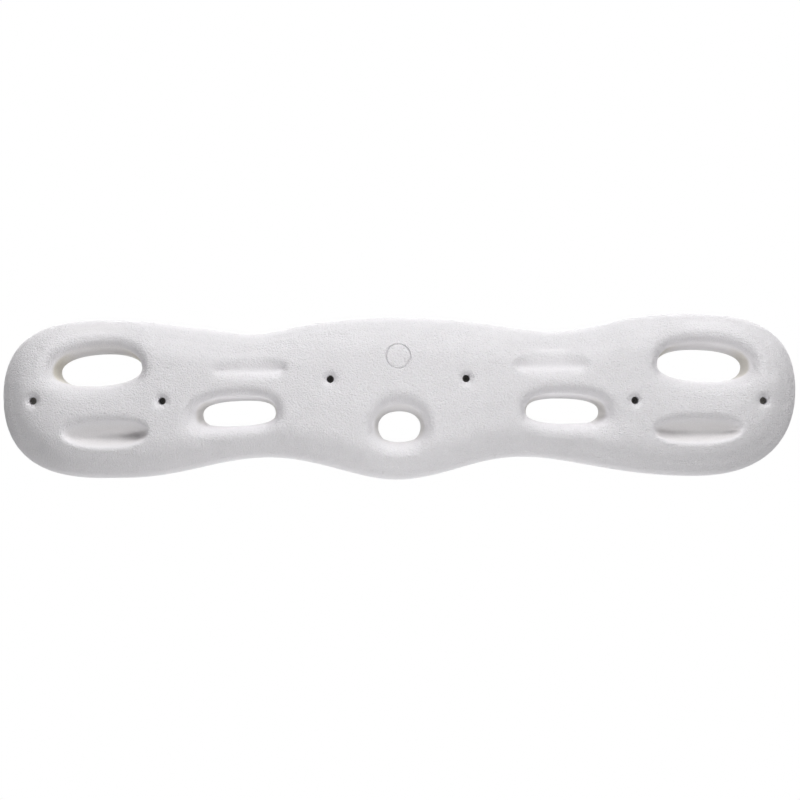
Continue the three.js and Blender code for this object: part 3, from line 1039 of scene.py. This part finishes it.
@dataclass
class WoodScrew:
    """A trim-head wood screw with a star drive and a cut thread.

    Attributes:
        seat_depth: Depth of the head's seat from the board's back.
        length: Length under the head.
        head_radius: Radius of the head.
        head_height: Height of the head.
        head_foot: Height above the seat where it has its full radius.
        head_edge: Pairs of a share of its radius and a distance below its top.
        neck_height: Height of the cone under the head.
        neck_share: Radius of its wide end as a share of the head's.
        shank_radius: Radius of the smooth shank.
        shank_step: Height in which the core widens to the shank.
        core_radius: Radius of the thread's core.
        thread_radius: Radius over the thread.
        thread_length: Length of the thread with the tip.
        pitch: Rise of the thread in one turn.
        flank: Start and height of its flank as shares of the wave from root to crest.
        fades: Share of the tip in which it rises, and share of its last turn that is plain.
        tip_length: Length of the tip.
        tip_radius: Radius at the point.
        tip_share: Share of the core's radius from which it widens.
        tip_curve: Power of its curve, where 1 is a straight cone.
        drive_radius: Radius over the star's lobes.
        drive_depth: Depth of the star.
        drive_point: Share of its radius at its cutter's point, and depth below its foot.
        drive_overrun: How far the cutter stands above the head.
        drive_sides: Sides of the cutter.
        lobes: Number of lobes.
        lobe_swing: How far the star's edge sways, as a share of its radius.
        sides: Sides round the axis.
        steps: Rows of the mesh in one turn of the thread.
        sharp_angle: Degrees from which an edge stays sharp.
    """

    seat_depth: float = 30.3 * MM
    length: float = 60 * MM
    head_radius: float = 3 * MM
    head_height: float = 4 * MM
    head_foot: float = 0.5 * MM
    head_edge: tuple[Span, ...] = ((1.0, 0.55 * MM), (0.965, 0.2 * MM), (0.88, 0.0))
    neck_height: float = 1.4 * MM
    neck_share: float = 0.8
    shank_radius: float = 1.75 * MM
    shank_step: float = 0.6 * MM
    core_radius: float = 1.45 * MM
    thread_radius: float = 2.22 * MM
    thread_length: float = 36 * MM
    pitch: float = 2.1 * MM
    flank: Span = (0.52, 0.42)
    fades: Span = (0.6, 0.1)
    tip_length: float = 7 * MM
    tip_radius: float = 0.05 * MM
    tip_share: float = 0.04
    tip_curve: float = 0.8
    drive_radius: float = 2 * MM
    drive_depth: float = 2.4 * MM
    drive_point: Span = (0.1, 0.5 * MM)
    drive_overrun: float = 1 * MM
    drive_sides: int = 72
    lobes: int = 6
    lobe_swing: float = 0.14
    sides: int = 32
    steps: int = 10
    sharp_angle: float = 32

    def build(self, spots: list[Point]) -> list[Piece]:
        """Builds the screws, one after the other, and dresses them.

        Args:
            spots: Where the screws' axes meet the back.

        Returns:
            The finished pieces.
        """
        model = self.blank()
        self.wind_thread(model)
        combine(model, self.star(), Blend.CUT)
        shade(model, self.sharp_angle)
        model.data.materials.clear()
        model.data.materials.append(PHOSPHATE.material())
        pieces = []
        for number, spot in enumerate(spots, start=1):
            piece = copied(model, f"wood_screw_{number}", spot)
            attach(piece, BODY)
            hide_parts(f"mounting_screw_{number}")
            pieces.append(piece)
        remove(model)
        return pieces

    def blank(self) -> Piece:
        """Turns the head, the neck, the shank and a plain core with its tip.

        Returns:
            The blank on the axis through the origin.
        """
        seat, top = self.seat_depth, self.seat_depth + self.head_height
        tip = seat - self.length
        start = tip + self.thread_length
        head, shank = self.head_radius, self.shank_radius
        row = self.pitch / self.steps
        count = int((start - tip) / row)
        rows = []
        for step in range(1, count):
            depth = tip + step * row
            share = min((depth - tip) / self.tip_length, 1) ** self.tip_curve
            share = self.tip_share + (1 - self.tip_share) * share
            rows.append((self.core_radius * share, depth))
        profile = [
            (self.tip_radius, tip),
            *rows,
            (self.core_radius, start),
            (shank, start + self.shank_step),
            (shank, seat - self.neck_height),
            (head * self.neck_share, seat),
            (head, seat + self.head_foot),
            *((head * share, top - drop) for share, drop in self.head_edge),
        ]
        return turned("screw", profile, self.sides)

    def wind_thread(self, piece: Piece) -> None:
        """Raises the thread from the core.

        Args:
            piece: The blank, turned round the axis through the origin.
        """
        places = coordinates(piece)
        depth = -places[:, 1]
        tip = self.seat_depth - self.length
        end = tip + self.thread_length
        radius = np.hypot(places[:, 0], places[:, 2])
        angle = np.arctan2(places[:, 2], places[:, 0])
        phase = (depth - tip) / self.pitch - angle / math.tau
        wave = 1 - np.abs(2 * (phase - np.floor(phase)) - 1)
        ridge = np.clip((wave - self.flank[0]) / self.flank[1], 0, 1)
        ridge *= smooth_step(depth, tip, tip + self.fades[0] * self.tip_length)
        ridge *= 1 - smooth_step(depth, end - self.pitch, end - self.fades[1] * self.pitch)
        grown = radius + ridge * (self.thread_radius - self.core_radius)
        share = np.where(radius > ON_PLACE, grown / np.maximum(radius, ON_PLACE), 1)
        places[:, [0, 2]] *= share[:, None]
        place_vertices(piece, places)

    def star(self) -> Piece:
        """Makes the cutter for the star drive.

        Returns:
            A prism with round lobes, narrowed to a point at its foot.
        """
        top = self.seat_depth + self.head_height
        foot = top - self.drive_depth
        radius = self.drive_radius
        profile = [
            (self.drive_point[0] * radius, foot - self.drive_point[1]),
            (radius, foot),
            (radius, top + self.drive_overrun),
        ]
        piece = turned("star", profile, self.drive_sides)
        places = coordinates(piece)
        angle = np.arctan2(places[:, 2], places[:, 0])
        share = 1 - self.lobe_swing + self.lobe_swing * np.cos(self.lobes * angle)
        places[:, [0, 2]] *= share[:, None]
        place_vertices(piece, places)
        return piece


@dataclass
class SeatWashers:
    """The washers that are cast in under the screw heads.

    Attributes:
        count: How many there are.
    """

    count: int = 6

    def dress(self) -> list[Piece]:
        """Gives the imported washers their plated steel.

        Returns:
            The washers.
        """
        steel = ZINC.material()
        pieces = [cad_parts[f"seat_washer_{number}"] for number in range(1, self.count + 1)]
        for piece in pieces:
            for slot in piece.material_slots:
                slot.material = steel
        return pieces


@dataclass(frozen=True)
class Lamp:
    """A soft rectangular lamp of white light.

    Attributes:
        name: Its name.
        place: Where it stands.
        size: Its width and height.
        power: Its power in watts.
    """

    name: str
    place: Point
    size: Span
    power: float

    def build(self) -> None:
        """Adds the lamp and aims it at the board's middle."""
        lamp = bpy.data.lights.new(self.name, "AREA")
        lamp.shape = "RECTANGLE"
        lamp.size, lamp.size_y = self.size
        lamp.energy = self.power
        holder = bpy.data.objects.new(self.name, lamp)
        holder.location = self.place
        holder.rotation_euler = Vector(self.place).to_track_quat("Z", "Y").to_euler()
        holder.visible_camera = False
        bpy.context.scene.collection.objects.link(holder)


def looking(tree: bpy.types.NodeTree) -> Socket:
    """Tells rays that look at a thing from rays that carry its light to others.

    Args:
        tree: The nodes of the material or the world, to which this is added.

    Returns:
        1 for camera, glossy and transmission rays, and 0 for all others.
    """
    path = tree.nodes.new("ShaderNodeLightPath").outputs
    seen = path["Is Camera Ray"]
    for name in ("Is Glossy Ray", "Is Transmission Ray"):
        more = tree.nodes.new("ShaderNodeMath")
        more.operation = "MAXIMUM"
        tree.links.new(seen, more.inputs[0])
        tree.links.new(path[name], more.inputs[1])
        seen = more.outputs[0]
    return seen


@dataclass
class Studio:
    """Floor, lamps, surroundings and camera.

    Attributes:
        floor_level: Height of the floor.
        floor_end: How far the floor runs behind the board.
        floor_size: Its width and length.
        floor_colour: Its colour.
        floor_roughness: Its roughness.
        floor_light: How bright its plain look is.
        floor_glow: Share of that look over its lit one.
        surround: Light from all round on the object.
        lamps: The lamps.
        camera_place: Where the camera stands.
        camera_reach: How far it sees.
        sensor: Width of its sensor in mm.
        view_width: Width of the view at the wall.
        shift: Sideways shift as a share of the view's width.
    """

    floor_level: float = -0.95
    floor_end: float = 2.4
    floor_size: float = 7.0
    floor_colour: Colour = (0.82, 0.82, 0.82)
    floor_roughness: float = 0.9
    floor_light: float = 0.9
    floor_glow: float = 0.7
    surround: float = 0.18
    lamps: tuple[Lamp, ...] = (
        Lamp("left_top_lamp", (-0.3, -0.5, 0.8), (0.5, 0.4), 4.7),
        Lamp("right_top_lamp", (0.4, -0.5, 0.8), (0.5, 0.4), 2.4),
        Lamp("high_right_lamp", (1.3, -1.6, 1.8), (1.0, 1.0), 22.4),
        Lamp("left_lamp", (-1.2, -0.5, 0.1), (0.4, 0.4), 0.95),
        Lamp("right_lamp", (0.7, -0.7, 0.35), (0.3, 0.3), 1.0),
        Lamp("low_lamp", (0.0, -0.35, -0.4), (0.25, 0.2), 1.0),
        Lamp("back_lamp", (0.0, 1.6, 0.6), (2.5, 1.5), 25.0),
        Lamp("low_back_lamp", (0.0, 0.8, -0.3), (1.4, 0.5), 3.0),
    )
    camera_place: Point = (0.0011, -1.65, -0.0018)
    camera_reach: float = 100
    sensor: float = 36
    view_width: float = 0.7264
    shift: float = 1 / 800

    def build(self) -> None:
        """Sets up the studio."""
        self.lay_floor()
        self.fill_surround()
        for lamp in self.lamps:
            lamp.build()
        self.place_camera()
        bpy.context.scene.view_settings.view_transform = "Standard"

    def lay_floor(self) -> None:
        """Adds the pale floor."""
        deselect_all()
        middle = (0, self.floor_end - self.floor_size / 2, self.floor_level)
        bpy.ops.mesh.primitive_plane_add(size=self.floor_size, location=middle)
        floor = bpy.context.object
        floor.name = "floor"
        settle(floor)
        recipe = Recipe("pale_floor")
        recipe.feed(recipe.shader.inputs["Base Color"], self.floor_colour)
        recipe.feed(recipe.shader.inputs["Roughness"], self.floor_roughness)
        plain = recipe.add("ShaderNodeEmission", {"Color": WHITE, "Strength": self.floor_light})
        share = recipe.math("MULTIPLY", looking(recipe.tree), self.floor_glow)
        surface = recipe.add(
            "ShaderNodeMixShader", {0: share, 1: recipe.shader.outputs[0], 2: plain.outputs[0]}
        )
        output = recipe.tree.nodes["Material Output"]
        recipe.feed(output.inputs["Surface"], surface.outputs[0])
        floor.data.materials.append(recipe.material)

    def fill_surround(self) -> None:
        """Makes the surroundings white to look at and dimmer as a light."""
        world = bpy.data.worlds.new("surround")
        bpy.context.scene.world = world
        world.use_nodes = True
        tree = world.node_tree
        light = tree.nodes["Background"]
        white = tree.nodes.new("ShaderNodeBackground")
        for node, strength in ((light, self.surround), (white, 1.0)):
            node.inputs["Color"].default_value = (*WHITE, 1)
            node.inputs["Strength"].default_value = strength
        mix = tree.nodes.new("ShaderNodeMixShader")
        for number, socket in enumerate((looking(tree), light.outputs[0], white.outputs[0])):
            tree.links.new(socket, mix.inputs[number])
        tree.links.new(mix.outputs[0], tree.nodes["World Output"].inputs["Surface"])

    def place_camera(self) -> None:
        """Adds the camera square to the wall."""
        camera = bpy.data.cameras.new("camera")
        distance = -self.camera_place[1]
        camera.sensor_width = self.sensor
        camera.lens = self.sensor * distance / self.view_width
        camera.shift_x = self.shift
        camera.clip_end = self.camera_reach
        holder = bpy.data.objects.new("camera", camera)
        holder.location = self.camera_place
        holder.rotation_euler = (math.pi / 2, 0, 0)
        bpy.context.scene.collection.objects.link(holder)
        bpy.context.scene.camera = holder


def screw_spots(count: int) -> list[Point]:
    """Reads the screws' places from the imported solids.

    Args:
        count: How many screws there are.

    Returns:
        Where their axes meet the back.
    """
    spots = []
    for number in range(1, count + 1):
        low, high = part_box(f"mounting_screw_{number}")
        spots.append(((low.x + high.x) / 2, 0.0, (low.z + high.z) / 2))
    return spots


def main() -> None:
    """Builds the looks of every part, then the studio."""
    logging.basicConfig(level=logging.INFO, format="%(name)s: %(message)s")
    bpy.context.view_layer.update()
    washers = SeatWashers()
    spots = screw_spots(washers.count)
    pieces = [Casting().build(spots), *WoodScrew().build(spots), *washers.dress()]
    for piece in pieces:
        log.info("%s: %d faces", piece.name, len(piece.data.polygons))
    Studio().build()


if __name__ == "__main__":
    main()
